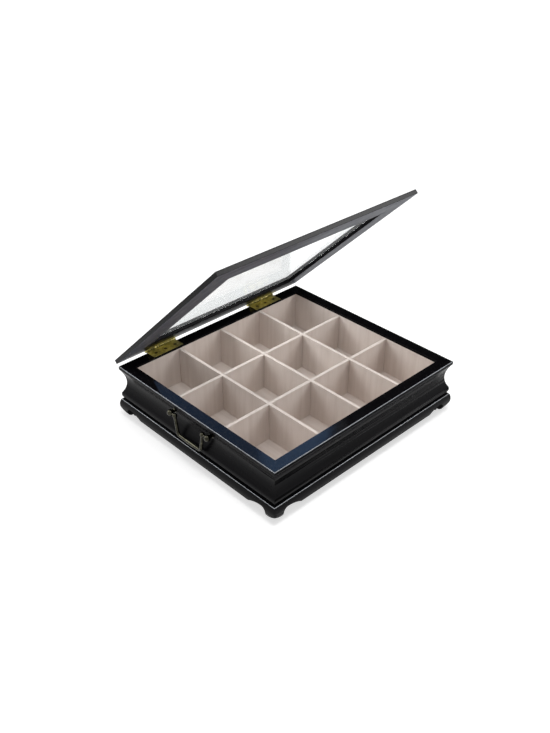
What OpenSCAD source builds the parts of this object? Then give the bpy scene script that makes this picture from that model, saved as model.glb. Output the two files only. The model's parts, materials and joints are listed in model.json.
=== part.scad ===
// Wooden tea bag box: twelve compartments, a glazed lid on two butt hinges and
// a bail handle at each end. The front faces -Y, the hinges are at +Y, the box
// stands on z = 0 and the lid is drawn part open.

/* [Box] */
// Width over the rim, left to right
rim_w = 307; // [280:1:380]
// Depth over the rim, front to back
rim_d = 275; // [250:1:340]
// Height from the table to the top of the rim
box_h = 72.5; // [70:0.5:100]
// Width of the flat band round the opening
rim_band = 14.8; // [13.5:0.1:18]
// Thickness of the band's inner lip, which covers the liner's top edge
lip_t = 3.2; // [2.4:0.1:4.4]

/* [Side moulding] */
// Height of the rim's rounded outer edge
edge_h = 6; // [5:0.1:8]
// Radius under the rim's outer edge
edge_r = 2.1; // [1.2:0.1:2.6]
// Radius of the fine arrises
arris_r = 0.9; // [0.4:0.1:1.2]
// How far the cove starts and ends behind the rim's outer edge
cove_in = 0.9; // [0.5:0.1:1.4]
// Depth of the cove
cove_depth = 5; // [3:0.1:5.5]
// Radius of the bead under the cove
bead_r = 9; // [8:0.1:10]
// How far the bead's face is behind the rim's outer edge
bead_in = 0.3; // [0:0.1:0.8]
// Height of the bead
bead_h = 10.3; // [9.8:0.1:10.8]
// Height of the bead's centre above the plinth
bead_rise = 7.1; // [6.6:0.1:7.4]

/* [Plinth] */
// Height of the plinth moulding's top above the table
plinth_h = 24; // [22.5:0.5:26]
// How far the plinth stands out from the rim's outer edge
plinth_out = 2.4; // [1.5:0.1:4]
// Height of the plinth's widest line
belly_h = 15.5; // [14.5:0.5:17]
// Radius of the plinth's bulging face
belly_r = 20; // [17:0.5:26]
// Height of the gap under the aprons
apron_gap = 10.5; // [8:0.5:11.5]
// Width of each bracket foot along the side
foot_w = 12.5; // [12:0.5:16]
// Distance from the corner to the cusp where the apron begins
cusp_w = 40; // [36:0.5:50]
// How far the notch beside a foot rises above the apron
notch_rise = 6.5; // [4:0.1:7]
// Height of the line where a foot's rounded face meets the moulding
foot_z = 12.5; // [12:0.1:13]
// How far a foot's underside is behind that line
foot_in = 8.8; // [7:0.1:9.5]
// Radius of a foot's rounded outer corner at its underside
toe_r = 6.5; // [6:0.1:8]
// Radius of the foot's lower inner corner
foot_corner_r = 4; // [2:0.5:5]
// Width of the ledges that carry the bottom panel
ledge_w = 6; // [5.5:0.5:9]
// Thickness of those ledges
ledge_t = 3.6; // [2:0.1:4]
// Side of the block glued behind each foot
block_w = 5; // [4:0.5:5.5]
// Radius of the felt pad under each foot
pad_r = 4; // [3:0.5:4.5]
// Thickness of the felt pads
pad_t = 1; // [0.5:0.1:2]

/* [Liner and dividers] */
// Thickness of the bottom panel
panel_t = 3; // [2.5:0.1:5]
// Thickness of the sheet that lines the floor
floor_t = 1.2; // [0.8:0.1:2]
// Thickness of the boards that line the sides
liner_t = 3; // [2:0.1:4]
// Compartments from left to right
columns = 4; // [2:1:4]
// Compartments from front to back
rows = 3; // [2:1:3]
// Thickness of the dividers
divider_t = 4; // [2:0.1:5.5]
// How far the dividers' top edges are below the rim
divider_drop = 4; // [3.5:0.1:12]
// Play between a divider and what it slides against
slip_fit = 0.15; // [0.1:0.05:0.3]

/* [Lid] */
// How far the lid overhangs the rim at the front and the ends
lid_over = 0.5; // [0:0.1:3]
// Width of the lid's frame members
frame_w = 35; // [28:0.5:42]
// Thickness of the frame at its outer edge
frame_t = 5.6; // [5:0.1:8]
// How much thicker the frame is at its inner edge
frame_rise = 2.8; // [2:0.1:4]
// Width of the rebate that takes the glass
rebate_w = 4.5; // [3.5:0.1:6]
// Height of the glazing beads
glazing_h = 4; // [3:0.1:4.4]
// Radius of a glazing bead's edge
glazing_r = 1.2; // [0.5:0.1:1.8]
// Thickness of the glass
glass_t = 2; // [1.5:0.1:2.5]
// Play round the glass and the glazing beads
glass_fit = 0.3; // [0.2:0.05:0.6]
// Gap between the rim and the closed lid
lid_gap = 0.3; // [0.2:0.05:1]
// Angle at which the lid is drawn open
lid_open = 44.5; // [0:0.5:110]

/* [Hinges] */
// Distance from the rim's end to the middle of each hinge
hinge_end = 67; // [55:0.5:85]
// Length of a hinge
hinge_l = 46; // [40:0.5:60]
// Width of a leaf on the wood
leaf_w = 14.4; // [11:0.1:14.6]
// Thickness of a leaf
leaf_t = 1; // [0.8:0.1:1.5]
// Radius of the knuckles
knuckle_r = 2.2; // [2:0.1:3.2]
// Length of each end knuckle
knuckle_l = 10.5; // [8:0.5:13]
// Radius of the hinge pin
pin_r = 1.2; // [0.8:0.1:1.5]
// Radial play of every pin in its bore
pin_fit = 0.05; // [0.02:0.01:0.08]
// Gap between parts that turn past each other
run_gap = 0.3; // [0.3:0.05:0.5]
// Distance from the rim's back edge to the pin
hinge_back = 4.1; // [3.6:0.1:6]
// Screws in each leaf
leaf_screws = 3; // [2:1:3]
// Distance between a leaf's screws
screw_pitch = 15; // [10:0.5:18]
// Radius of a screw's shank
screw_r = 1.2; // [0.8:0.1:1.4]
// Radius of a screw's head
screw_head_r = 2.2; // [1.8:0.1:2.8]
// Length of a screw
screw_l = 4.6; // [3:0.1:5]

/* [Handles] */
// Distance from a handle's middle to each of its posts
post_y = 33; // [28:0.5:50]
// How far the posts' centres are below the rim
post_drop = 12.5; // [12:0.5:16]
// How far the posts' balls stand out from the rim's outer edge
post_out = 3; // [2:0.1:8]
// Radius of a post's ball
ball_r = 4; // [3.2:0.05:4.4]
// Radius of a post's neck
neck_r = 2.2; // [1.8:0.1:2.8]
// Radius of the collar that seats on the wood
collar_r = 3.2; // [2.6:0.1:4]
// Thickness of that collar
collar_t = 1.7; // [1:0.1:2.4]
// Radius of the stud through the wall
stud_r = 1.75; // [1.2:0.05:2]
// Thickness of the nut on the stud
nut_t = 2.2; // [1.6:0.1:2.6]
// Radius over the corners of that nut
nut_r = 3.4; // [2.8:0.1:4]
// Radius of the bail's pivots
pivot_r = 1.3; // [0.9:0.05:1.6]
// Radius of the knob on each of the bail's shoulders
knob_r = 3; // [2.2:0.1:3.4]
// Distance from a post to the knob beside it
knob_in = 8.5; // [7.8:0.1:12]
// How far the bail hangs below its pivots
bail_drop = 25; // [22:0.5:28]
// Angle by which the bail's arms lean towards each other, in degrees
arm_lean = 9; // [5:1:20]
// Radius of the bend between an arm and the grip
bend_r = 5; // [3:0.5:7]
// Radius of the bail's arms
arm_r = 2.1; // [1.4:0.1:2.4]
// Radius of the bail's grip at its middle
grip_r = 2.5; // [2:0.1:3]

/* [Hidden] */
$fn = 64;

// Over-cut of a tool past the face it leaves through.
cut = 1;
// Reach of the mitring tool outside and inside a frame's outer edge.
mitre_out = 6;
mitre_in = 60;

// Side walls, seen in section: inset from the rim's outer edge against height.
wall_t = rim_band - liner_t;
edge_z = box_h - edge_h;
lip_z = box_h - lip_t;
bead_top = plinth_h + bead_h;
bead_z = plinth_h + bead_rise;
cove_z = (edge_z + bead_top) / 2;
cove_half = (edge_z - bead_top) / 2;
cove_r = (cove_half * cove_half + cove_depth * cove_depth) / (2 * cove_depth);
cove_x = cove_in + cove_depth - cove_r;

// Plinth and feet.
panel_z = apron_gap + ledge_t;
floor_z = panel_z + panel_t;
foot_join_in = belly_r - sqrt(pow(belly_r, 2) - pow(belly_h - foot_z, 2)) - plinth_out;
foot_h = foot_z - pad_t;
foot_r = (foot_h * foot_h + foot_in * foot_in) / (2 * foot_in);
foot_x = foot_join_in + foot_r;
foot_base_in = foot_join_in + foot_in;
toe_over = 0.5;
toe_top_r = (foot_w - foot_join_in) * sqrt(2) + toe_over;
crown_z = plinth_h - arris_r;
crown_x = belly_r - plinth_out - sqrt(pow(belly_r - arris_r, 2) - pow(crown_z - belly_h, 2));
crown_low = belly_h + (crown_z - belly_h) * belly_r / (belly_r - arris_r);
notch_top = apron_gap + notch_rise;
notch_share = 0.22;
notch_run = (cusp_w - foot_w) * notch_share;
notch_far = cusp_w - foot_w - notch_run;
notch_r = (notch_far * notch_far + notch_rise * notch_rise) / (2 * notch_rise);
pad_in = (foot_base_in + wall_t + block_w) / 2;

// Inside the liner.
inner_w = rim_w - 2 * rim_band;
inner_d = rim_d - 2 * rim_band;
divider_z = floor_z + floor_t;
divider_h = box_h - divider_drop - divider_z;

// Hinge axis and lid.
hinge_x = rim_w / 2 - hinge_end;
hinge_y = rim_d / 2 + hinge_back;
hinge_z = box_h + lid_gap / 2;
lid_back_y = hinge_y - knuckle_r - run_gap;
lid_front_y = -rim_d / 2 - lid_over;
lid_w = rim_w + 2 * lid_over;
lid_d = lid_back_y - lid_front_y;
lid_y = (lid_back_y + lid_front_y) / 2;
lid_z = box_h + lid_gap;
glass_in = frame_w - rebate_w;
slot_w = 0.7;
slot_h = 0.4;
pin_head_r = 1.9;
pin_head_t = 0.6;

// Handles.
post_z = box_h - post_drop;
post_x = rim_w / 2 + post_out;
cove_at_post = cove_x + sqrt(pow(cove_r, 2) - pow(post_z - collar_r - cove_z, 2));
post_reach = cove_at_post + post_out;
nut_fit = 0.3;
knob_y = post_y - knob_in;
pivot_in = 1.5;
bend_z = bend_r - bail_drop;
arm_z = bend_z - bend_r * sin(arm_lean);
arm_sink = 0.5;
arm_step = 0.1;
grip_half = knob_y + arm_z * tan(arm_lean) - bend_r * cos(arm_lean);
grip_steps = 6;
grip_line = [
    for (i = [0 : grip_steps])
        [arm_r + (grip_r - arm_r) * pow(cos(90 * i / grip_steps), 2), grip_half * i / grip_steps]
];

wood = "#141417";
lining = "#c4b4a8";
brass = "#a8913a";
bronze = "#5a5038";

// ---- Frames of mitred members ----

// One member of a mitred frame along X, at the front: the section drawn by
// its child runs inwards from the outer edge (x) and upwards (y).
module mitred(half_run, half_depth, height) {
    intersection() {
        translate([0, -half_depth, 0])
            rotate([90, 0, 90])
                linear_extrude(height = 2 * (half_run + mitre_out), center = true)
                    children();
        translate([0, 0, -cut])
            linear_extrude(height = height + 2 * cut)
                polygon([
                    [-half_run - mitre_out, -half_depth - mitre_out],
                    [half_run + mitre_out, -half_depth - mitre_out],
                    [half_run - mitre_in, -half_depth + mitre_in],
                    [-half_run + mitre_in, -half_depth + mitre_in]
                ]);
    }
}

// Turns a member drawn at the front to its own side.
module to_back() { rotate([0, 0, 180]) children(); }
module to_left() { rotate([0, 0, -90]) children(); }
module to_right() { rotate([0, 0, 90]) children(); }

// ---- Side walls ----

// Section of a side wall: rim band, rounded edge, cove and bead.
module side_section() {
    difference() {
        union() {
            translate([edge_r, edge_z + edge_r]) circle(edge_r);
            translate([arris_r, box_h - arris_r]) circle(arris_r);
            translate([0, edge_z + edge_r]) square([rim_band, edge_h - edge_r - arris_r]);
            translate([arris_r, edge_z + edge_r]) square([rim_band - arris_r, edge_h - edge_r]);
            translate([edge_r, edge_z]) square([rim_band - edge_r, edge_h - arris_r]);
            translate([cove_in, bead_top])
                square([wall_t - cove_in, edge_z - bead_top + edge_r]);
            intersection() {
                translate([bead_in + bead_r, bead_z]) circle(bead_r);
                translate([0, plinth_h]) square([bead_in + bead_r, bead_h]);
            }
            translate([bead_in + bead_r, plinth_h]) square([wall_t - bead_in - bead_r, bead_h]);
        }
        translate([cove_x, cove_z]) circle(cove_r);
        translate([wall_t, plinth_h - cut]) square([liner_t + cut, lip_z - plinth_h + cut]);
    }
}

module side_x() { mitred(rim_w / 2, rim_d / 2, box_h) side_section(); }
module side_y() { mitred(rim_d / 2, rim_w / 2, box_h) side_section(); }

// Recess in the back wall's top for one leaf, with its screws' pilot holes.
module box_mortise(x) {
    translate([x - hinge_l / 2, rim_d / 2 - leaf_w, box_h - leaf_t])
        cube([hinge_l, leaf_w + cut, leaf_t + cut]);
    at_box_screws(x) translate([0, 0, -screw_l - pin_fit]) cylinder(h = screw_l, r = screw_r + pin_fit);
}

// Seat, through hole and nut recess for the two posts of the left handle.
module post_holes() {
    for (y = [-post_y, post_y]) translate([-rim_w / 2, y, post_z]) rotate([0, 90, 0]) {
        translate([0, 0, -cut]) cylinder(h = cove_at_post + cut, r = collar_r + pin_fit);
        cylinder(h = wall_t + cut, r = stud_r + pin_fit);
        translate([0, 0, wall_t - nut_t - nut_fit])
            cylinder(h = nut_t + nut_fit + cut, r = nut_r + nut_fit);
    }
}

module front_side() { color(wood) side_x(); }
module back_side() {
    color(wood) difference() {
        to_back() side_x();
        box_mortise(-hinge_x);
        box_mortise(hinge_x);
    }
}
module left_side() {
    color(wood) difference() {
        to_left() side_y();
        post_holes();
    }
}
module right_side() { mirror([1, 0, 0]) left_side(); }

// ---- Plinth and feet ----

// Section of the plinth at a foot: bulging moulding over a rounded foot.
module plinth_section() {
    difference() {
        intersection() {
            translate([belly_r - plinth_out, belly_h]) circle(belly_r);
            translate([-plinth_out, foot_z]) square([plinth_out + wall_t, plinth_h - foot_z]);
        }
        difference() {
            translate([-plinth_out - cut, crown_low])
                square([plinth_out + cut + crown_x, plinth_h - crown_low + cut]);
            translate([crown_x, crown_z]) circle(arris_r);
        }
    }
    intersection() {
        translate([foot_x, foot_z]) circle(foot_r);
        translate([-plinth_out, pad_t]) square([plinth_out + foot_x, foot_h + cut]);
    }
    translate([foot_x - cut, pad_t]) square([wall_t - foot_x + cut, foot_h + cut]);
}

// Outline of what is cut away between the corner and the middle of a side,
// measured from the corner: the foot's flank, the notch and half the apron.
module apron_half(half_run) {
    translate([foot_w, -cut]) square([half_run - foot_w, cut + notch_top - notch_run]);
    translate([foot_w + notch_run, notch_top - notch_run]) circle(notch_run);
    translate([foot_w + notch_run, -cut]) square([half_run - foot_w - notch_run, cut + apron_gap]);
    intersection() {
        translate([foot_w + notch_run, notch_top - notch_r]) circle(notch_r);
        translate([foot_w + notch_run, 0]) square([notch_far, notch_top + cut]);
    }
    difference() {
        translate([foot_w - foot_corner_r, -cut])
            square([foot_corner_r + cut, pad_t + foot_corner_r + cut]);
        translate([foot_w - foot_corner_r, pad_t + foot_corner_r]) circle(foot_corner_r);
    }
}

// Rounds the outer corner of a foot, which is left square at its widest line.
module toe_cut() {
    corner = foot_w + plinth_out + cut;
    difference() {
        translate([-plinth_out - cut, -plinth_out - cut, pad_t - cut])
            cube([corner, corner, foot_h + cut]);
        translate([foot_w, foot_w, pad_t])
            cylinder(h = foot_h, r1 = toe_r, r2 = toe_top_r);
    }
}

module plinth_member(half_run, half_depth) {
    difference() {
        mitred(half_run, half_depth, plinth_h) plinth_section();
        translate([-half_run, -half_depth, 0]) toe_cut();
        translate([half_run, -half_depth, 0]) mirror([1, 0, 0]) toe_cut();
        translate([0, -half_depth + mitre_in, 0]) rotate([90, 0, 0])
            linear_extrude(height = mitre_in + mitre_out) {
                translate([-half_run, 0]) apron_half(half_run);
                mirror([1, 0]) translate([-half_run, 0]) apron_half(half_run);
            }
    }
}

module plinth_x() { plinth_member(rim_w / 2, rim_d / 2); }
module plinth_y() { plinth_member(rim_d / 2, rim_w / 2); }
module front_plinth() { color(wood) plinth_x(); }
module back_plinth() { color(wood) to_back() plinth_x(); }
module left_plinth() { color(wood) to_left() plinth_y(); }
module right_plinth() { color(wood) to_right() plinth_y(); }

// Ledges inside the plinth; the side ones fit between the long ones.
module ledge_x() {
    color(wood) translate([-rim_w / 2 + wall_t, -rim_d / 2 + wall_t, apron_gap])
        cube([rim_w - 2 * wall_t, ledge_w, ledge_t]);
}
module ledge_y() {
    ledge_run = rim_d - 2 * (wall_t + ledge_w);
    color(wood) translate([-rim_w / 2 + wall_t, -ledge_run / 2, apron_gap])
        cube([ledge_w, ledge_run, ledge_t]);
}
module front_ledge() { ledge_x(); }
module back_ledge() { to_back() ledge_x(); }
module left_ledge() { ledge_y(); }
module right_ledge() { to_back() ledge_y(); }

module bottom_panel() {
    color("#3a3634") translate([-rim_w / 2 + wall_t + slip_fit, -rim_d / 2 + wall_t + slip_fit, panel_z])
        cube([rim_w - 2 * (wall_t + slip_fit), rim_d - 2 * (wall_t + slip_fit), panel_t]);
}

// Repeats its child in all four corners, at an inset from the rim's edges.
module each_corner(inset) {
    for (sx = [-1, 1], sy = [-1, 1])
        translate([sx * (rim_w / 2 - inset), sy * (rim_d / 2 - inset), 0]) children();
}

module foot_blocks() {
    color(wood) each_corner(wall_t + block_w / 2) translate([-block_w / 2, -block_w / 2, pad_t])
        cube([block_w, block_w, apron_gap - pad_t]);
}

module foot_pads() { color("#26262a") each_corner(pad_in) cylinder(h = pad_t, r = pad_r); }

// ---- Liner and dividers ----

liner_h = lip_z - floor_z;

module liner_x() {
    color(lining) translate([-rim_w / 2 + wall_t, -rim_d / 2 + wall_t, floor_z])
        cube([rim_w - 2 * wall_t, liner_t, liner_h]);
}
module liner_y() {
    color(lining) translate([-rim_w / 2 + wall_t, -inner_d / 2, floor_z])
        cube([liner_t, inner_d, liner_h]);
}
module front_liner() { liner_x(); }
module back_liner() { to_back() liner_x(); }
module left_liner() { liner_y(); }
module right_liner() { to_back() liner_y(); }

module floor_liner() {
    color(lining) translate([-inner_w / 2 + slip_fit, -inner_d / 2 + slip_fit, floor_z])
        cube([inner_w - 2 * slip_fit, inner_d - 2 * slip_fit, floor_t]);
}

function column_x(i) = -inner_w / 2 + i * inner_w / columns;
function row_y(i) = -inner_d / 2 + i * inner_d / rows;
slot_half = divider_t / 2 + slip_fit;
slot_z = divider_z + divider_h / 2;

// Divider between two columns, slotted from below at each row divider.
module column_divider(i) {
    if (i < columns) color(lining) difference() {
        translate([column_x(i) - divider_t / 2, -inner_d / 2 + slip_fit, divider_z])
            cube([divider_t, inner_d - 2 * slip_fit, divider_h]);
        for (j = [1 : rows - 1])
            translate([column_x(i) - divider_t, row_y(j) - slot_half, divider_z - cut])
                cube([2 * divider_t, 2 * slot_half, divider_h / 2 + slip_fit + cut]);
    }
}

// Divider between two rows, slotted from above at each column divider.
module row_divider(j) {
    if (j < rows) color(lining) difference() {
        translate([-inner_w / 2 + slip_fit, row_y(j) - divider_t / 2, divider_z])
            cube([inner_w - 2 * slip_fit, divider_t, divider_h]);
        for (i = [1 : columns - 1])
            translate([column_x(i) - slot_half, row_y(j) - divider_t, slot_z - slip_fit])
                cube([2 * slot_half, 2 * divider_t, divider_h / 2 + slip_fit + cut]);
    }
}

module column_divider_1() { column_divider(1); }
module column_divider_2() { column_divider(2); }
module column_divider_3() { column_divider(3); }
module row_divider_1() { row_divider(1); }
module row_divider_2() { row_divider(2); }

// ---- Lid ----

// Turns the closed lid about the hinge pins.
module opened() {
    translate([0, hinge_y, hinge_z]) rotate([-lid_open, 0, 0])
        translate([0, -hinge_y, -hinge_z]) children();
}

// Places a piece drawn in the lid's own frame: middle of the underside at zero.
module in_lid() { opened() translate([0, lid_y, lid_z]) children(); }

// Section of a frame member: flat underside, sloping top and glass rebate.
module frame_section() {
    outer_arris = [
        for (turn = [0 : 22.5 : 90])
            [arris_r - arris_r * cos(turn), frame_t - arris_r + arris_r * sin(turn)]
    ];
    top_z = frame_t + frame_rise;
    difference() {
        polygon(concat(
            [[0, 0]], outer_arris,
            [[frame_w - arris_r, top_z], [frame_w, top_z - arris_r], [frame_w, 0]]
        ));
        translate([glass_in, -cut]) square([rebate_w + cut, cut + glazing_h + glass_t]);
    }
}

module frame_x() { mitred(lid_w / 2, lid_d / 2, frame_t + frame_rise) frame_section(); }
module frame_y() { mitred(lid_d / 2, lid_w / 2, frame_t + frame_rise) frame_section(); }

// Section of a glazing bead, rounded at the edge that shows.
module glazing_section() {
    translate([glass_in + glass_fit, 0])
        square([rebate_w - glass_fit - glazing_r, glazing_h]);
    translate([glass_in + glass_fit, glazing_r])
        square([rebate_w - glass_fit, glazing_h - glazing_r]);
    translate([frame_w - glazing_r, glazing_r]) circle(glazing_r);
}

module glazing_x() { mitred(lid_w / 2, lid_d / 2, glazing_h) glazing_section(); }
module glazing_y() { mitred(lid_d / 2, lid_w / 2, glazing_h) glazing_section(); }

// Recess in the back rail's underside for one leaf, with its pilot holes.
module lid_mortise(x) {
    translate([x - hinge_l / 2, lid_back_y - leaf_w, lid_z - cut])
        cube([hinge_l, leaf_w + cut, leaf_t + cut]);
    at_lid_screws(x) translate([0, 0, pin_fit]) cylinder(h = screw_l, r = screw_r + pin_fit);
}

module lid_front_rail() { color(wood) in_lid() frame_x(); }
module lid_back_rail() {
    color(wood) opened() difference() {
        translate([0, lid_y, lid_z]) to_back() frame_x();
        lid_mortise(-hinge_x);
        lid_mortise(hinge_x);
    }
}
module lid_left_rail() { color(wood) in_lid() to_left() frame_y(); }
module lid_right_rail() { color(wood) in_lid() to_right() frame_y(); }

module lid_glass() {
    glass_inset = glass_in + glass_fit;
    color([0.8, 0.87, 0.9, 0.35]) in_lid()
        translate([-lid_w / 2 + glass_inset, -lid_d / 2 + glass_inset, glazing_h])
            cube([lid_w - 2 * glass_inset, lid_d - 2 * glass_inset, glass_t]);
}

module lid_front_bead() { color(wood) in_lid() glazing_x(); }
module lid_back_bead() { color(wood) in_lid() to_back() glazing_x(); }
module lid_left_bead() { color(wood) in_lid() to_left() glazing_y(); }
module lid_right_bead() { color(wood) in_lid() to_right() glazing_y(); }

// ---- Hinges ----

screw_y = rim_d / 2 - leaf_w / 2;
lid_screw_y = lid_back_y - leaf_w / 2;

// Places its child at each screw of one leaf, on the leaf's outer surface.
module at_screws(x, y, z) {
    for (i = [0 : leaf_screws - 1])
        translate([x + (i - (leaf_screws - 1) / 2) * screw_pitch, y, z]) children();
}
module at_box_screws(x) { at_screws(x, screw_y, box_h) children(); }
module at_lid_screws(x) { at_screws(x, lid_screw_y, lid_z) children(); }

// Countersunk head's cone, widened by play, with its top face at zero.
module head_cone(play) {
    translate([0, 0, -leaf_t]) cylinder(h = leaf_t, r1 = screw_r + play, r2 = screw_head_r + play);
}

module wood_screw() {
    difference() {
        union() {
            head_cone(0);
            translate([0, 0, -screw_l + screw_r]) cylinder(h = screw_l - screw_r, r = screw_r);
            translate([0, 0, -screw_l]) cylinder(h = screw_r, r1 = screw_r / 4, r2 = screw_r);
        }
        translate([-screw_head_r, -slot_w / 2, -slot_h])
            cube([2 * screw_head_r, slot_w, slot_h + cut]);
    }
}

// Length of pipe along X, from one place to another.
module barrel(x0, x1, r) {
    translate([x0, hinge_y, hinge_z]) rotate([0, 90, 0]) cylinder(h = x1 - x0, r = r);
}

// Web that joins a knuckle to its leaf.
module web(x0, x1, z) {
    translate([x0, lid_back_y - cut, z]) cube([x1 - x0, hinge_y - lid_back_y + cut, leaf_t]);
}

module box_leaf(x) {
    ends = [[x - hinge_l / 2, x - hinge_l / 2 + knuckle_l], [x + hinge_l / 2 - knuckle_l, x + hinge_l / 2]];
    leaf_y = rim_d / 2 - leaf_w;
    color(brass) difference() {
        union() {
            translate([x - hinge_l / 2, leaf_y, box_h - leaf_t])
                cube([hinge_l, lid_back_y - leaf_y, leaf_t]);
            for (e = ends) {
                web(e[0], e[1], box_h - leaf_t);
                barrel(e[0], e[1], knuckle_r);
            }
        }
        barrel(x - hinge_l / 2 - cut, x + hinge_l / 2 + cut, pin_r + pin_fit);
        at_box_screws(x) {
            head_cone(pin_fit);
            translate([0, 0, -leaf_t - cut]) cylinder(h = leaf_t + 2 * cut, r = screw_r + pin_fit);
        }
    }
}

module lid_leaf(x) {
    x0 = x - hinge_l / 2 + knuckle_l + run_gap;
    x1 = x + hinge_l / 2 - knuckle_l - run_gap;
    color(brass) opened() difference() {
        union() {
            translate([x - hinge_l / 2, lid_back_y - leaf_w, lid_z]) cube([hinge_l, leaf_w, leaf_t]);
            web(x0, x1, lid_z);
            barrel(x0, x1, knuckle_r);
        }
        barrel(x0 - cut, x1 + cut, pin_r + pin_fit);
        at_lid_screws(x) {
            mirror([0, 0, 1]) head_cone(pin_fit);
            translate([0, 0, -cut]) cylinder(h = leaf_t + 2 * cut, r = screw_r + pin_fit);
        }
    }
}

module hinge_pin(x) {
    color(brass) {
        barrel(x - hinge_l / 2 - pin_head_t, x + hinge_l / 2 + pin_head_t, pin_r);
        barrel(x - hinge_l / 2 - pin_head_t, x - hinge_l / 2, pin_head_r);
        barrel(x + hinge_l / 2, x + hinge_l / 2 + pin_head_t, pin_head_r);
    }
}

module left_hinge_box_leaf() { box_leaf(-hinge_x); }
module left_hinge_lid_leaf() { lid_leaf(-hinge_x); }
module left_hinge_pin() { hinge_pin(-hinge_x); }
module right_hinge_box_leaf() { box_leaf(hinge_x); }
module right_hinge_lid_leaf() { lid_leaf(hinge_x); }
module right_hinge_pin() { hinge_pin(hinge_x); }

module box_leaf_screws() {
    color(brass) for (x = [-hinge_x, hinge_x]) at_box_screws(x) wood_screw();
}
module lid_leaf_screws() {
    color(brass) opened() for (x = [-hinge_x, hinge_x]) at_lid_screws(x) mirror([0, 0, 1]) wood_screw();
}

// ---- Handles ----

// Post with its collar on the wood at zero and its ball outwards along Z; the
// bail's pivot enters the ball from the side that faces -Y.
module post() {
    difference() {
        union() {
            cylinder(h = collar_t, r = collar_r);
            cylinder(h = post_reach, r = neck_r);
            translate([0, 0, post_reach]) sphere(ball_r);
            translate([0, 0, cove_at_post - wall_t]) cylinder(h = wall_t - cove_at_post, r = stud_r);
        }
        translate([0, pivot_in + pin_fit, post_reach]) rotate([90, 0, 0])
            cylinder(h = ball_r + pivot_in + cut, r = pivot_r + pin_fit);
    }
}

module left_handle_posts() {
    color(bronze) for (side = [0, 1]) mirror([0, side, 0])
        translate([-rim_w / 2 + cove_at_post, post_y, post_z]) rotate([0, -90, 0]) post();
}

module left_handle_nuts() {
    color(bronze) for (y = [-post_y, post_y])
        translate([-rim_w / 2 + wall_t - nut_t, y, post_z]) rotate([0, 90, 0]) difference() {
            cylinder(h = nut_t, r = nut_r, $fn = 6);
            translate([0, 0, -cut]) cylinder(h = nut_t + 2 * cut, r = stud_r + pin_fit);
        }
}

// Half of the bail: pivot, knob, leaning arm, bend and half of the swelling grip.
module bail_half() {
    translate([0, knob_y, 0]) rotate([-90, 0, 0]) cylinder(h = knob_in + pivot_in, r = pivot_r);
    translate([0, knob_y, 0]) sphere(knob_r);
    translate([0, grip_half, bend_z]) rotate([90, 0, 90]) {
        rotate([0, 0, -90])
            rotate_extrude(angle = 90 - arm_lean) translate([bend_r, 0]) circle(arm_r);
        rotate([0, 0, -arm_lean]) translate([bend_r, -arm_sink, 0]) rotate([-90, 0, 0])
            cylinder(h = arm_sink - arm_z / cos(arm_lean), r = arm_r - arm_step);
    }
    translate([0, 0, -bail_drop]) rotate([-90, 0, 0]) rotate_extrude()
        polygon(concat([[0, 0]], grip_line, [[0, grip_half]]));
}

module left_handle_bail() {
    color(bronze) translate([-post_x, 0, post_z]) {
        bail_half();
        mirror([0, 1, 0]) bail_half();
    }
}

module right_handle_posts() { mirror([1, 0, 0]) left_handle_posts(); }
module right_handle_nuts() { mirror([1, 0, 0]) left_handle_nuts(); }
module right_handle_bail() { mirror([1, 0, 0]) left_handle_bail(); }

front_side();
back_side();
left_side();
right_side();
front_plinth();
back_plinth();
left_plinth();
right_plinth();
front_ledge();
back_ledge();
left_ledge();
right_ledge();
bottom_panel();
foot_blocks();
foot_pads();
front_liner();
back_liner();
left_liner();
right_liner();
floor_liner();
column_divider_1();
column_divider_2();
column_divider_3();
row_divider_1();
row_divider_2();
lid_front_rail();
lid_back_rail();
lid_left_rail();
lid_right_rail();
lid_glass();
lid_front_bead();
lid_back_bead();
lid_left_bead();
lid_right_bead();
left_hinge_box_leaf();
left_hinge_lid_leaf();
left_hinge_pin();
right_hinge_box_leaf();
right_hinge_lid_leaf();
right_hinge_pin();
box_leaf_screws();
lid_leaf_screws();
left_handle_posts();
left_handle_nuts();
left_handle_bail();
right_handle_posts();
right_handle_nuts();
right_handle_bail();
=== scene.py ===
import json
import math

import bpy
from mathutils import Matrix, Vector


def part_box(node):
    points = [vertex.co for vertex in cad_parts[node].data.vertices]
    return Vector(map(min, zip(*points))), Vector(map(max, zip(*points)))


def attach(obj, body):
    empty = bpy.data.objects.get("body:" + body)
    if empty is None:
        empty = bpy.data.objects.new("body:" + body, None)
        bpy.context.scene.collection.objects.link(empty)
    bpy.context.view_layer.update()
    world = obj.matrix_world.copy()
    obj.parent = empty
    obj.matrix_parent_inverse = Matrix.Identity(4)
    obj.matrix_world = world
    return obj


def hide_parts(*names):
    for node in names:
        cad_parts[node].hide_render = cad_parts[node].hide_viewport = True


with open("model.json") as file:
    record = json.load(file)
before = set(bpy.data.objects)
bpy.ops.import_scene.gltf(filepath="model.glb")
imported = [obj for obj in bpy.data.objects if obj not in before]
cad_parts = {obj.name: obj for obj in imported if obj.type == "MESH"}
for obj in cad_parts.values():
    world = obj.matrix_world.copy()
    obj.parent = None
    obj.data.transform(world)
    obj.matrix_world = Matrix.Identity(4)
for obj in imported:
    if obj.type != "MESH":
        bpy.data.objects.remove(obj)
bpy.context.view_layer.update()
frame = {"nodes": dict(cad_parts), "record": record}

# Black lacquered tea box: twelve pale compartments, a glazed lid on two brass
# hinges and a bail handle at each end. Metres; the front faces -Y.

MM = 0.001
NODES = frame["nodes"]
RECORD = frame["record"]
BODY_OF = {n: body for body, names in RECORD["behaviour"]["bodies"].items() for n in names}
SLOT_OF = {row["node"]: row["material_slot"] for row in RECORD["subparts"]}
RIM_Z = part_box("front_side")[1][2]
PLINTH_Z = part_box("front_plinth")[1][2]

# Angle at which the lid stands open at rest.
LID_OPEN = math.radians(44.5)

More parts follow.
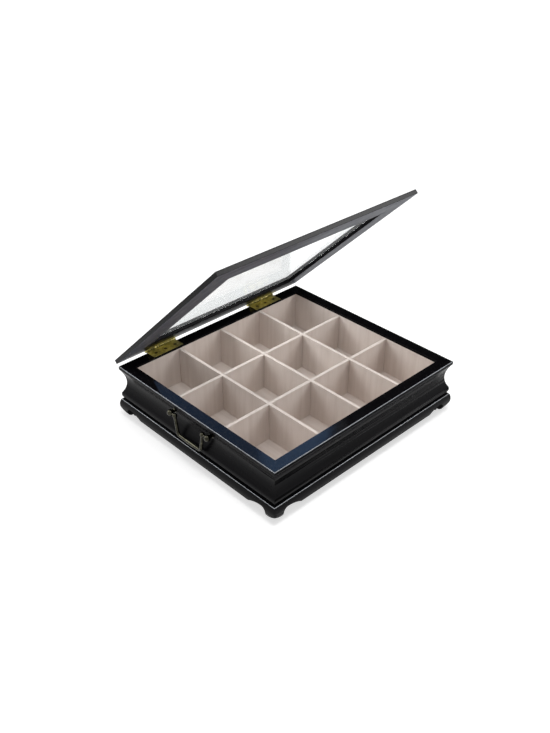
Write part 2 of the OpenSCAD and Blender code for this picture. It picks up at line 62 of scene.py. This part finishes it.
# ---- Nodes of a material ----


# Places of the factor, the colours and the result on a Mix node set to colour.
MIX_FACTOR, MIX_BELOW, MIX_ABOVE, MIX_RESULT = 0, 6, 7, 2


class Finish:
    """A material whose nodes are added one call at a time. Its patterns lie on
    the object, turned by a tilt about X, and its grain is stretched as well."""

    def __init__(self, name, tilt=0.0, stretch=(1, 1, 1)):
        self.material = bpy.data.materials.new(name)
        self.material.use_nodes = True
        self.tree = self.material.node_tree
        self.shader = self.tree.nodes["Principled BSDF"]
        self.output = self.tree.nodes["Material Output"]
        place = self.add("TexCoord").outputs["Object"]
        self.place = self.add("Mapping", Vector=place, Rotation=(tilt, 0, 0)).outputs[0]
        self.grain = self.add("Mapping", Vector=self.place, Scale=stretch).outputs[0]

    def feed(self, socket, value):
        """Links an input to another node's output, or sets it to a number or colour."""
        if isinstance(value, bpy.types.NodeSocket):
            self.tree.links.new(value, socket)
        else:
            socket.default_value = value

    def add(self, kind, settings=None, **inputs):
        """Adds a node; an input's name has _ where Blender's has a space."""
        node = self.tree.nodes.new("ShaderNode" + kind)
        for key, value in (settings or {}).items():
            setattr(node, key, value)
        for key, value in inputs.items():
            self.feed(node.inputs[key.replace("_", " ")], value)
        return node

    def noise(self, where, scale, detail=2.0, roughness=0.5, distortion=0.0):
        """Noise with about as many lumps to the metre as its scale."""
        return self.add("TexNoise", Vector=where, Scale=scale, Detail=detail,
                        Roughness=roughness, Distortion=distortion).outputs["Fac"]

    def ramp(self, value, *stops):
        """Colours a value between 0 and 1; a stop is (place, (red, green, blue))."""
        node = self.add("ValToRGB", Fac=value)
        band = node.color_ramp
        while len(band.elements) < len(stops):
            band.elements.new(0.5)
        for element, (where, colour) in zip(band.elements, stops):
            element.position = where
            element.color = (*colour, 1)
        return node.outputs["Color"]

    def span(self, value, low, high, start=0.3, end=0.7):
        """Stretches the part of a noise between start and end over low to high."""
        return self.add("MapRange", Value=value, From_Min=start, From_Max=end,
                        To_Min=low, To_Max=high).outputs["Result"]

    def mix(self, share, below, above):
        """Lays a share of one colour over another."""
        node = self.add("Mix", {"data_type": "RGBA"})
        self.feed(node.inputs[MIX_FACTOR], share)
        self.feed(node.inputs[MIX_BELOW], below)
        self.feed(node.inputs[MIX_ABOVE], (*above, 1))
        return node.outputs[MIX_RESULT]

    def reckon(self, operation, a, b):
        """Works out a sum, product or maximum of two values."""
        node = self.add("Math", {"operation": operation})
        self.feed(node.inputs[0], a)
        self.feed(node.inputs[1], b)
        return node.outputs[0]

    def bump(self, height, strength, distance, under=None):
        """Raises a pattern on the surface, over another bump if one is given."""
        node = self.add("Bump", Height=height, Strength=strength, Distance=distance)
        if under is not None:
            self.feed(node.inputs["Normal"], under)
        return node.outputs["Normal"]

    def shade(self, **inputs):
        """Fills the shader's own sockets and gives the material."""
        for key, value in inputs.items():
            self.feed(self.shader.inputs[key.replace("_", " ")], value)
        return self.material


# ---- Finishes ----

# Stretch of the grain noise for boards that run along X, Y or Z.
ALONG_X = (0.03, 1, 1)
ALONG_Y = (1, 0.03, 1)
ALONG_Z = (1, 1, 0.05)
# Stretch of the brush strokes on the hinges' leaves, which run along X.
BRUSHED_X = (0.05, 1, 1)


# How much rougher the lacquer is where its haze is thickest.
HAZE_PATCHES = 0.08


def black_lacquer(name, stretch, tilt=0.0, gloss=0.05, haziness=0.24):
    """Black lacquer over wood: faint grain, patches of haze, orange peel and specks of dust."""
    f = Finish(name, tilt, stretch)
    grain = f.noise(f.grain, 420, detail=3)
    haze = f.noise(f.place, 26, detail=4, roughness=0.6)
    peel = f.noise(f.place, 240, detail=1)
    dust = f.noise(f.place, 2600, detail=1)
    colour = f.ramp(grain, (0.30, (0.0022, 0.0022, 0.0028)), (0.72, (0.0045, 0.0042, 0.0048)))
    rough = f.span(haze, haziness, haziness + HAZE_PATCHES)
    specks = f.span(dust, 0.0, 0.12, start=0.72, end=0.80)
    normal = f.bump(peel, 0.08, 0.2 * MM)
    normal = f.bump(grain, 0.02, 0.08 * MM, normal)
    return f.shade(Base_Color=colour, Roughness=f.reckon("ADD", rough, specks), Normal=normal,
                   Specular_IOR_Level=gloss)


def worn_edge_painted_highlight():
    """Lacquer worn thin and polished on the outer edges, its light blue-grey colour partly wear and
    partly a painted highlight.
    """
    f = Finish("worn_edge_painted_highlight")
    wear_and_highlight = f.noise(f.place, 90, detail=4, roughness=0.6)
    # Painted highlight: the arris is coloured light blue-grey, partly for wear and partly for the
    # highlight along it.
    colour = f.ramp(wear_and_highlight, (0.30, (0.065, 0.074, 0.088)), (0.70, (0.180, 0.200, 0.230)))
    return f.shade(Base_Color=colour, Roughness=f.span(wear_and_highlight, 0.32, 0.20), Specular_IOR_Level=0.8)


def painted_reflection_black(name, stretch):
    """Rubbed out black on the underside of the lid's frame, painted grey-blue as a painted reflection,
    with lighter painted sheen in strokes along the wood.
    """
    f = Finish(name, LID_OPEN, stretch)
    grain = f.noise(f.grain, 500, detail=4)
    strokes = f.noise(f.grain, 110, detail=2)
    rubbed = f.noise(f.place, 60, detail=4, roughness=0.6)
    # Painted reflection: grey-blue in place of black, with lighter painted sheen streaks where the
    # strokes are.
    colour = f.ramp(grain, (0.30, (0.0580, 0.0630, 0.0800)), (0.70, (0.0780, 0.0840, 0.1050)))
    colour = f.mix(f.span(strokes, 0.0, 0.6, start=0.42, end=0.62), colour, (0.1200, 0.1290, 0.1560))
    return f.shade(Base_Color=colour, Roughness=f.span(rubbed, 0.44, 0.56),
                   Normal=f.bump(grain, 0.10, 0.15 * MM), Specular_IOR_Level=0.15)


def black_stain():
    """Black stain on the blocks and ledges under the box, without the lacquer's gloss."""
    f = Finish("black_stain", stretch=ALONG_X)
    grain = f.noise(f.grain, 600, detail=4)
    colour = f.ramp(grain, (0.3, (0.010, 0.009, 0.009)), (0.7, (0.022, 0.020, 0.019)))
    return f.shade(Base_Color=colour, Roughness=f.span(grain, 0.62, 0.85),
                   Normal=f.bump(grain, 0.35, 0.2 * MM), Specular_IOR_Level=0.3)


def pale_wood(name, stretch):
    """Fine grained pale veneer with pores along the grain."""
    f = Finish(name, stretch=stretch)
    figure = f.noise(f.grain, 150, detail=3, distortion=0.4)
    fine = f.noise(f.grain, 900, detail=4, roughness=0.65)
    pores = f.noise(f.grain, 1800, detail=2)
    cloud = f.noise(f.place, 9, detail=2)
    colour = f.ramp(figure, (0.28, (0.620, 0.545, 0.500)), (0.50, (0.670, 0.600, 0.555)),
                    (0.74, (0.710, 0.640, 0.600)))
    colour = f.mix(f.span(fine, 0.0, 0.20), colour, (0.540, 0.470, 0.425))
    colour = f.mix(f.span(pores, 0.0, 0.35, start=0.66, end=0.76), colour, (0.400, 0.330, 0.285))
    colour = f.mix(f.span(cloud, 0.0, 0.15), colour, (0.700, 0.570, 0.490))
    return f.shade(Base_Color=colour, Roughness=f.span(fine, 0.46, 0.66),
                   Normal=f.bump(fine, 0.22, 0.15 * MM), Specular_IOR_Level=0.35)


def panel_board():
    """Dark stained board with short fibres."""
    f = Finish("panel_board", stretch=(1, 0.25, 1))
    fibre = f.noise(f.grain, 900, detail=5, roughness=0.7)
    cloud = f.noise(f.place, 14, detail=2)
    colour = f.ramp(fibre, (0.3, (0.026, 0.021, 0.017)), (0.7, (0.060, 0.050, 0.042)))
    colour = f.mix(f.span(cloud, 0.0, 0.4), colour, (0.030, 0.025, 0.021))
    return f.shade(Base_Color=colour, Roughness=f.span(fibre, 0.65, 0.9),
                   Normal=f.bump(fibre, 0.4, 0.2 * MM), Specular_IOR_Level=0.25)


def felt():
    """Matted black wool under the feet."""
    f = Finish("felt")
    wool = f.noise(f.place, 1500, detail=6, roughness=0.75, distortion=1.2)
    colour = f.ramp(wool, (0.3, (0.012, 0.012, 0.014)), (0.7, (0.055, 0.055, 0.060)))
    return f.shade(Base_Color=colour, Roughness=f.span(wool, 0.85, 1.0), Sheen_Weight=0.35,
                   Normal=f.bump(wool, 0.9, 0.4 * MM), Specular_IOR_Level=0.1)


def hinge_brass():
    """Yellow brass, dulled where fingers and air reach it."""
    f = Finish("brass")
    tarnish = f.noise(f.place, 130, detail=5, roughness=0.65)
    strokes = f.add("Mapping", Vector=f.place, Scale=BRUSHED_X).outputs[0]
    brushed = f.noise(strokes, 4200, detail=2)
    colour = f.ramp(tarnish, (0.30, (0.200, 0.178, 0.062)), (0.52, (0.460, 0.415, 0.165)),
                    (0.75, (0.720, 0.660, 0.330)))
    return f.shade(Base_Color=colour, Metallic=1.0, Roughness=f.span(tarnish, 0.58, 0.36),
                   Normal=f.bump(brushed, 0.14, 0.05 * MM))


def barrel_brass():
    """The knuckles' brass, darker than the leaves' and bright only in spots."""
    f = Finish("barrel_brass")
    spotting = f.noise(f.place, 300, detail=3, roughness=0.6)
    colour = f.ramp(spotting, (0.42, (0.030, 0.026, 0.008)), (0.56, (0.130, 0.115, 0.038)),
                    (0.66, (0.480, 0.430, 0.190)))
    return f.shade(Base_Color=colour, Metallic=1.0, Roughness=f.span(spotting, 0.60, 0.40),
                   Normal=f.bump(spotting, 0.12, 0.05 * MM))


def screw_brass_painted_shade():
    """Screws painted dark for the shade in their countersinks, with spots of tarnish."""
    f = Finish("screw_brass_painted_shade")
    tarnish = f.noise(f.place, 400, detail=4)
    # Painted shade: the screws' colour is kept dark for their countersinks' shade; the noise gives
    # tarnish spots.
    colour = f.ramp(tarnish, (0.3, (0.030, 0.026, 0.012)), (0.7, (0.110, 0.095, 0.045)))
    return f.shade(Base_Color=colour, Metallic=1.0, Roughness=f.span(tarnish, 0.6, 0.4),
                   Normal=f.bump(tarnish, 0.15, 0.05 * MM))


def antique_brass():
    """Brass darkened brown, with brighter metal where the patina is rubbed."""
    f = Finish("antique_brass")
    patina = f.noise(f.place, 260, detail=5, roughness=0.7)
    pits = f.noise(f.place, 1400, detail=2)
    colour = f.ramp(patina, (0.36, (0.020, 0.019, 0.014)), (0.60, (0.046, 0.044, 0.032)),
                    (0.80, (0.150, 0.135, 0.090)))
    return f.shade(Base_Color=colour, Metallic=1.0, Roughness=f.span(patina, 0.20, 0.10),
                   Normal=f.bump(pits, 0.10, 0.05 * MM))


def zinc():
    """Spangled plating on the nuts behind the liner."""
    f = Finish("steel")
    spangle = f.noise(f.place, 700, detail=3, distortion=0.8)
    colour = f.ramp(spangle, (0.3, (0.34, 0.34, 0.36)), (0.7, (0.58, 0.58, 0.59)))
    return f.shade(Base_Color=colour, Metallic=1.0, Roughness=f.span(spangle, 0.28, 0.48),
                   Normal=f.bump(spangle, 0.12, 0.05 * MM))


# The share of the glass that is plainly see-through. To the lamps all of it is.
CLEAR_SHARE = 0.75


def sheet_glass():
    """Clear glass that lets the lamps' light through to the compartments."""
    f = Finish("glass")
    wave = f.noise(f.place, 11, detail=1)
    smear = f.noise(f.place, 60, detail=4, roughness=0.6)
    f.shade(Base_Color=(0.95, 0.97, 0.98, 1), Transmission_Weight=1.0, IOR=1.45,
            Roughness=f.span(smear, 0.0, 0.02, start=0.4, end=0.8),
            Normal=f.bump(wave, 0.03, 0.2 * MM))
    clear = f.add("BsdfTransparent", Color=(0.975, 0.985, 0.985, 1))
    shadow = f.add("LightPath").outputs["Is Shadow Ray"]
    mixed = f.add("MixShader", Fac=f.reckon("MAXIMUM", shadow, CLEAR_SHARE))
    f.tree.links.new(f.shader.outputs[0], mixed.inputs[1])
    f.tree.links.new(clear.outputs[0], mixed.inputs[2])
    f.tree.links.new(mixed.outputs[0], f.output.inputs["Surface"])
    return f.material


LACQUER_X = black_lacquer("black_lacquer_x", ALONG_X)
LACQUER_Y = black_lacquer("black_lacquer_y", ALONG_Y)
LID_LACQUER_X = black_lacquer("black_lacquer_lid_x", ALONG_X, LID_OPEN, gloss=0.17, haziness=0.14)
LID_LACQUER_Y = black_lacquer("black_lacquer_lid_y", ALONG_Y, LID_OPEN, gloss=0.08, haziness=0.14)
RIM_LACQUER = black_lacquer("black_lacquer_rim", ALONG_X, gloss=0.09, haziness=0.05)
# Dull black for the edges round the pane; under the hinge rail it is painted shade beside the other
# rails' painted reflection.
DULL_LACQUER_AND_SHADE = black_lacquer("black_lacquer_dull_and_shade", ALONG_X, LID_OPEN, gloss=0.03, haziness=0.30)
WORN_EDGE_HIGHLIGHT = worn_edge_painted_highlight()
STAIN = black_stain()
PAINTED_REFLECTION_X = painted_reflection_black("painted_reflection_black_x", ALONG_X)
PAINTED_REFLECTION_Y = painted_reflection_black("painted_reflection_black_y", ALONG_Y)
SCREW_BRASS = screw_brass_painted_shade()
BARREL_BRASS = barrel_brass()
WALL_WOOD = pale_wood("pale_wood", ALONG_Z)
FLOOR_WOOD = pale_wood("pale_wood_floor", ALONG_Y)
FINISHES = {
    "panel_board": panel_board(),
    "felt": felt(),
    "glass": sheet_glass(),
    "brass": hinge_brass(),
    "antique_brass": antique_brass(),
    "steel": zinc(),
}


def finish_of(node):
    """The material of a CAD node, by its slot and the way its board runs."""
    if node.endswith("ledge") or node == "foot_blocks":
        return STAIN
    if node.endswith("screws"):
        return SCREW_BRASS
    if SLOT_OF[node] == "pale_wood":
        return FLOOR_WOOD if node == "floor_liner" else WALL_WOOD
    if SLOT_OF[node] != "black_lacquer":
        return FINISHES[SLOT_OF[node]]
    if node.startswith("lid"):
        return LID_LACQUER_Y if node.startswith(("lid_left", "lid_right")) else LID_LACQUER_X
    return LACQUER_Y if node.startswith(("left", "right")) else LACQUER_X


# ---- Modelling helpers ----


def only(obj):
    """Makes an object the one that is selected."""
    bpy.ops.object.select_all(action="DESELECT")
    obj.select_set(True)
    bpy.context.view_layer.objects.active = obj


def edit(obj, mode="EDGE"):
    """Opens an object for editing by its points, edges or faces."""
    only(obj)
    bpy.context.tool_settings.mesh_select_mode = [mode == kind for kind in ("VERT", "EDGE", "FACE")]
    bpy.ops.object.mode_set(mode="EDIT")


def done():
    bpy.ops.object.mode_set(mode="OBJECT")


def smooth(obj, angle=35):
    """Smooth shading in which the large faces stay flat and the arrises turn."""
    only(obj)
    bpy.ops.object.shade_smooth_by_angle(angle=math.radians(angle))
    flats = obj.modifiers.new("flats", "WEIGHTED_NORMAL")
    flats.keep_sharp = True
    bpy.ops.object.modifier_apply(modifier=flats.name)


def paint(piece, material):
    """Gives a piece one finish all over."""
    piece.data.materials.clear()
    piece.data.materials.append(material)


def stand_for(piece, node):
    """The piece takes a CAD node's place and body, and the node is hidden."""
    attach(piece, BODY_OF[node])
    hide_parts(node)


# Points closer than this are made one, and so are flat faces that meet at less
# than this angle.
WELD = 0.002 * MM
FLAT_ANGLE = math.radians(0.4)


def merged_copy(node, name):
    """A CAD node's mesh as one closed skin with flat faces joined."""
    piece = bpy.data.objects.new(name, NODES[node].data.copy())
    bpy.context.scene.collection.objects.link(piece)
    edit(piece, "VERT")
    bpy.ops.mesh.select_all(action="SELECT")
    bpy.ops.mesh.remove_doubles(threshold=WELD)
    bpy.ops.mesh.dissolve_limited(angle_limit=FLAT_ANGLE)
    bpy.ops.mesh.normals_make_consistent(inside=False)
    done()
    return piece


# A mitre's faces stand at 45 degrees to X, also on the tilted lid.
MITRE = math.sqrt(0.5)
MITRE_SLACK = 0.003
# How many widths of softening the narrower face beside an edge has to hold.
ROOM = 1.5


def arrises(piece, width, sharp, shortest, keep_mitres=True):
    """Selects the convex edges sharper than an angle that have room for a
    softening of that width on both sides, apart from the mitres'."""
    mesh = piece.data
    sides = {}
    for face in mesh.polygons:
        for key in face.edge_keys:
            sides.setdefault(key, []).append(face)
    for edge in mesh.edges:
        faces = sides.get(edge.key, [])
        edge.select = False
        if len(faces) != 2:
            continue
        a, b = faces
        run = (mesh.vertices[edge.vertices[0]].co - mesh.vertices[edge.vertices[1]].co).length
        mitred = any(abs(abs(face.normal.x) - MITRE) < MITRE_SLACK for face in faces)
        convex = (b.center - a.center).dot(a.normal) < 0
        turned = a.normal.angle(b.normal, 0) > math.radians(sharp)
        room = min(face.area for face in faces) / run > ROOM * width
        edge.select = turned and convex and room and run > shortest and not (keep_mitres and mitred)
    for face in mesh.polygons:
        face.select = False


def ease(node, width, segments=2, sharp=28, shortest=1.5 * MM, keep_mitres=True):
    """Replaces a CAD node by a copy whose sharp edges are softened."""
    piece = merged_copy(node, node + "_eased")
    paint(piece, finish_of(node))
    arrises(piece, width, sharp, shortest, keep_mitres)
    edit(piece)
    bpy.ops.mesh.bevel(offset=width, segments=segments, profile=0.5, affect="EDGES",
                       clamp_overlap=True, loop_slide=False)
    done()
    smooth(piece)
    stand_for(piece, node)
    return piece


def refinish(piece, material, chosen):
    """Gives the faces that pass a test another finish."""
    piece.data.materials.append(material)
    for face in piece.data.polygons:
        if chosen(face):
            face.material_index = len(piece.data.materials) - 1


# The upward part of a normal from which a face counts as sloping, and as level.
SLOPING, LEVEL = 0.25, 0.97
# How far below a top the rounding of its outer edge is followed.
NOSING = 0.8 * MM


def nosing(face, top):
    """Whether a face is on the rounding at the outer edge of a top."""
    outwards = face.normal.x * face.center.x + face.normal.y * face.center.y > 0
    return outwards and SLOPING < face.normal.z < LEVEL and face.center.z > top - NOSING


# Where the hinges' axis crosses a plane of Y and Z, and how far the knuckles
# reach from it.
AXIS_Y, AXIS_Z = next(joint["pos_m"][1:] for joint in RECORD["behaviour"]["joints"]
                      if joint["name"] == "lid_hinge")
KNUCKLE = 2.2 * MM
KNUCKLE_SLACK = 0.1 * MM


def on_barrel(face):
    """Whether a face of a leaf is on its knuckles."""
    return math.hypot(face.center.y - AXIS_Y, face.center.z - AXIS_Z) < KNUCKLE + KNUCKLE_SLACK


# ---- The box's woodwork ----

# Widths of the softening on the wood's edges.
SIDE_EASE = 0.3 * MM
RAIL_EASE = 0.4 * MM
BEAD_EASE = 0.2 * MM
DIVIDER_EASE = 0.4 * MM

# The way the lid's underside faces, and how closely a face's normal follows
# that way to be part of it.
UNDER_LID = Vector((0, -math.sin(LID_OPEN), -math.cos(LID_OPEN)))
FACING = 0.9
PANE = (Vector(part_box("lid_glass")[0]) + Vector(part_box("lid_glass")[1])) / 2


def round_the_pane(face):
    """Whether a face of the lid's frame is on the edges that look at the pane's middle."""
    return abs(face.normal.dot(UNDER_LID)) < FACING and face.normal.dot(PANE - face.center) > 0


# The rim's top is polished, and its outer edge and the plinth's are rubbed and
# coloured light as a painted highlight. The lid's underside is a satin painted
# grey-blue as a painted reflection, apart from the hinge rail's, which is left
# dull black as painted shade, like the edges round the pane. The windows shine
# on the sides in RIM.
RIM = bpy.data.collections.new("rim")
for side in ("front", "back", "left", "right"):
    rim = ease(side + "_side", SIDE_EASE)
    if side in ("front", "left"):
        RIM.objects.link(rim)
    refinish(rim, WORN_EDGE_HIGHLIGHT, lambda face: nosing(face, RIM_Z))
    refinish(rim, RIM_LACQUER, lambda face: face.normal.z > LEVEL and face.center.z > RIM_Z - MM)
    plinth = ease(side + "_plinth", SIDE_EASE)
    refinish(plinth, WORN_EDGE_HIGHLIGHT, lambda face: nosing(face, PLINTH_Z))
    ease(side + "_liner", SIDE_EASE)
    # Painted reflection under the front and side rails, and painted shade under the hinge rail.
    underside = {"front": PAINTED_REFLECTION_X, "back": DULL_LACQUER_AND_SHADE}.get(side, PAINTED_REFLECTION_Y)
    for member in (ease("lid_" + side + "_rail", RAIL_EASE), ease("lid_" + side + "_bead", BEAD_EASE)):
        refinish(member, underside, lambda face: face.normal.dot(UNDER_LID) > FACING)
        refinish(member, DULL_LACQUER_AND_SHADE, round_the_pane)
for node in SLOT_OF:
    if "divider" in node:
        ease(node, DIVIDER_EASE, segments=3)

# ---- Metalwork ----

LEAF_EASE = 0.12 * MM

for node in SLOT_OF:
    if node.endswith("leaf"):
        leaf = ease(node, LEAF_EASE, shortest=3 * MM, keep_mitres=False)
        refinish(leaf, BARREL_BRASS, on_barrel)
    elif node.endswith(("pin", "posts", "bail", "nuts")):
        piece = merged_copy(node, node + "_turned")
        smooth(piece, angle=40)
        paint(piece, finish_of(node))
        stand_for(piece, node)

# ---- Felt pads ----

PAD_RADIUS = 4 * MM
PAD_EASE = 0.25 * MM


def felt_pads():
    """Four round pads with a softened edge, one under each foot."""
    low, high = (Vector(c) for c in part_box("foot_pads"))
    thick = high.z - low.z
    inset = Vector((PAD_RADIUS, PAD_RADIUS, 0))
    left_front = low + inset
    right_back = Vector((high.x, high.y, low.z)) - inset
    for name, x, y in (("front_left", left_front.x, left_front.y),
                       ("front_right", right_back.x, left_front.y),
                       ("back_left", left_front.x, right_back.y),
                       ("back_right", right_back.x, right_back.y)):
        bpy.ops.mesh.primitive_cylinder_add(vertices=48, radius=PAD_RADIUS, depth=thick,
                                            location=(x, y, low.z + thick / 2))
        pad = bpy.context.object
        pad.name = "felt_pad_" + name
        bpy.ops.object.transform_apply(location=True)
        arrises(pad, width=0, sharp=60, shortest=0)
        edit(pad)
        bpy.ops.mesh.bevel(offset=PAD_EASE, segments=3, affect="EDGES")
        done()
        smooth(pad)
        paint(pad, FINISHES["felt"])
        stand_for(pad, "foot_pads")


felt_pads()

# ---- The CAD nodes, of which those that a piece stands for are hidden ----

for node in SLOT_OF:
    paint(NODES[node], finish_of(node))

# ---- Camera ----

scene = bpy.context.scene
FRAME_HEIGHT = 733
FOCAL_PIXELS = 852.792
AIM = Vector((-11.914 * MM, 8.861 * MM, RIM_Z - 2.964 * MM))
DISTANCE = 1.04836
AZIMUTH = math.radians(-44.2064)
ELEVATION = math.radians(33.4026)
ROLL = math.radians(0.4435)


def camera():
    """A camera at a distance from the aim, turned by its roll."""
    back = Vector((math.cos(ELEVATION) * math.sin(AZIMUTH),
                   -math.cos(ELEVATION) * math.cos(AZIMUTH), math.sin(ELEVATION)))
    right = Vector((math.cos(AZIMUTH), math.sin(AZIMUTH), 0))
    turn = Matrix((right, back.cross(right), back)).transposed() @ Matrix.Rotation(ROLL, 3, "Z")
    eye = bpy.data.objects.new("camera", bpy.data.cameras.new("camera"))
    scene.collection.objects.link(eye)
    eye.matrix_world = Matrix.Translation(AIM + DISTANCE * back) @ turn.to_4x4()
    eye.data.lens = eye.data.sensor_width * FOCAL_PIXELS / FRAME_HEIGHT
    scene.camera = eye


camera()

# ---- Studio ----

scene.view_settings.view_transform = "Standard"


def seen(tree, *kinds):
    """1 for rays of the named kinds and 0 for the rest."""
    rays = tree.nodes.new("ShaderNodeLightPath")
    total = rays.outputs[kinds[0]]
    for kind in kinds[1:]:
        both = tree.nodes.new("ShaderNodeMath")
        both.operation = "MAXIMUM"
        tree.links.new(total, both.inputs[0])
        tree.links.new(rays.outputs[kind], both.inputs[1])
        total = both.outputs[0]
    return total


# The paper's side, how far it lies under the feet, how much its shade varies,
# and where round the box its glow starts to grow and is full.
PAPER_SIDE = 12
PAPER_DROP = 0.1 * MM
PAPER_FLECK = 0.01
GLOW_STARTS, GLOW_FULL = 0.45, 2.2


def floor(shade, glow):
    """Pale paper lit by the lamps, with a glow that brings it to white and
    grows where their light fades."""
    bpy.ops.mesh.primitive_plane_add(size=PAPER_SIDE, location=(0, 0, -PAPER_DROP))
    plane = bpy.context.object
    plane.name = "floor"
    f = Finish("floor")
    paper = f.noise(f.place, 900, detail=3)
    low = (shade - PAPER_FLECK,) * 3
    high = (shade + PAPER_FLECK,) * 3
    away = f.add("VectorMath", {"operation": "LENGTH"})
    f.feed(away.inputs[0], f.place)
    level = f.span(away.outputs["Value"], glow, 1.0, start=GLOW_STARTS, end=GLOW_FULL)
    looked_at = seen(f.tree, "Is Camera Ray", "Is Glossy Ray", "Is Transmission Ray")
    f.shade(Base_Color=f.ramp(paper, (0.3, low), (0.7, high)), Roughness=0.9,
            Specular_IOR_Level=0.0, Emission_Color=(1, 1, 1, 1),
            Emission_Strength=f.reckon("MULTIPLY", looked_at, level))
    plane.data.materials.append(f.material)


def surroundings(softness):
    """White behind the object and in its gloss, softer as light."""
    world = bpy.data.worlds.new("studio")
    scene.world = world
    world.use_nodes = True
    tree = world.node_tree
    level = tree.nodes.new("ShaderNodeMapRange")
    level.inputs["To Min"].default_value = softness
    level.inputs["To Max"].default_value = 1.0
    looked_at = seen(tree, "Is Camera Ray", "Is Glossy Ray", "Is Transmission Ray")
    tree.links.new(looked_at, level.inputs["Value"])
    light = tree.nodes["Background"]
    light.inputs["Color"].default_value = (1, 1, 1, 1)
    tree.links.new(level.outputs["Result"], light.inputs["Strength"])


# The point in the box that lamps are turned to.
TARGET = Vector((0, 0, 0.05))


def lamp(name, place, size, radiance, colour=(1, 1, 1)):
    """A softbox of a size, as bright all over as its radiance."""
    data = bpy.data.lights.new(name, "AREA")
    data.shape = "RECTANGLE"
    data.size, data.size_y = size
    data.energy = radiance * math.pi * size[0] * size[1]
    data.color = colour
    obj = bpy.data.objects.new(name, data)
    scene.collection.objects.link(obj)
    obj.location = place
    obj.rotation_euler = (TARGET - Vector(place)).to_track_quat("-Z", "Y").to_euler()
    obj.visible_camera = False
    return obj


def sheen(name, place, size, radiance, colour=(1, 1, 1)):
    """A pane that only gloss shows."""
    pane = lamp(name, place, size, radiance, colour)
    pane.visible_diffuse = False
    return pane


def dark_flag(place, size, turn):
    """A level black card that only the gloss sees."""
    bpy.ops.mesh.primitive_plane_add(size=1, location=place, rotation=(0, 0, math.radians(turn)))
    card = bpy.context.object
    card.name = "dark_flag"
    card.scale = (*size, 1)
    card.visible_camera = card.visible_diffuse = False
    card.visible_transmission = card.visible_shadow = False
    f = Finish("black_cloth")
    weave = f.noise(f.place, 800, detail=2)
    f.shade(Base_Color=f.ramp(weave, (0.3, (0.002, 0.002, 0.002)), (0.7, (0.006, 0.006, 0.006))),
            Roughness=1.0, Specular_IOR_Level=0.0)
    card.data.materials.append(f.material)


floor(shade=0.60, glow=0.62)
surroundings(softness=0.35)

SOFTBOX = (0.85, 0.85)
KEY_PLACE = (0.87, -0.84, 0.90)
FILL_PLACE = (-0.85, 0.90, 0.90)
key = lamp("key", KEY_PLACE, SOFTBOX, 4)
sheen("key_sheen", KEY_PLACE, SOFTBOX, 6)
fill = lamp("fill", FILL_PLACE, SOFTBOX, 5)
lamp("overhead", (-0.2, -0.2, 1.7), (1.0, 1.0), 3.2)
floor_light = lamp("floor_light", (0, -0.05, 1.0), (0.5, 0.5), 7.5)

# A blue window, brighter in one pane, mirrored by the polish of two sides alone.
for name, place, size, radiance, blue in (
        ("window", (0.38, 0.52, 0.69), (0.42, 0.30), 2.6, (0.10, 0.34, 0.85)),
        ("window_pane", (0.43, 0.40, 0.68), (0.14, 0.30), 5.0, (0.28, 0.50, 0.90))):
    sheen(name, place, size, radiance, blue).light_linking.receiver_collection = RIM
dark_flag(place=(1.00, 1.10, 0.90), size=(1.6, 1.5), turn=-32)

# The paper gets its lamp light from above, so its shadow keeps close to the box.
paper = bpy.data.collections.new("paper")
paper.objects.link(bpy.data.objects["floor"])
floor_light.light_linking.receiver_collection = paper
all_but_paper = bpy.data.collections.new("all_but_paper")
all_but_paper.objects.link(bpy.data.objects["floor"])
all_but_paper.collection_objects[0].light_linking.link_state = "EXCLUDE"
for softbox in (key, fill):
    softbox.light_linking.receiver_collection = all_but_paper
